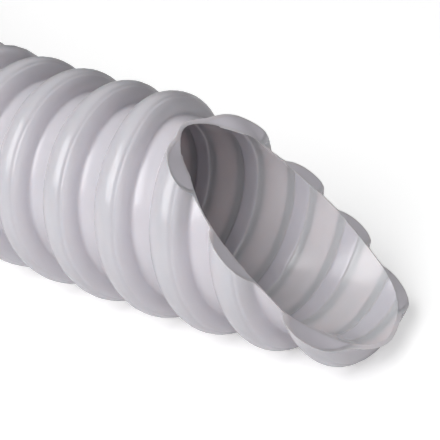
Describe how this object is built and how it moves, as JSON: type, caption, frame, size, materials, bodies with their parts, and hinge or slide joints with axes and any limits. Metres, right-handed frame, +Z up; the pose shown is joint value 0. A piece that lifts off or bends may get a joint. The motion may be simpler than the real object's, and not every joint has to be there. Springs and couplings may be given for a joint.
{
  "type": "pvc spiral hose",
  "caption": "Light grey PVC hose, ribbed by a rigid spiral inside its soft wall, with a square end and a slanted knife-cut end.",
  "frame": {"origin": "centre of the bore at the square end's face", "axes": "+X runs into the straight stretch from the square end, +Z is up, +Y is the side that the slanted end curves to"},
  "size_m": [0.5036, 0.097, 0.033],
  "materials": {
    "soft_pvc": "smooth, slightly glossy, light warm grey",
    "rigid_pvc": "denser bluish grey, seen at the cut and through the wall inside"
  },
  "bodies": {
    "root": {"hose_wall": "soft_pvc", "rigid_spiral": "rigid_pvc", "tongue_rib_1": "rigid_pvc", "tongue_rib_2": "rigid_pvc", "tongue_rib_3": "rigid_pvc"}
  },
  "joints": []
}
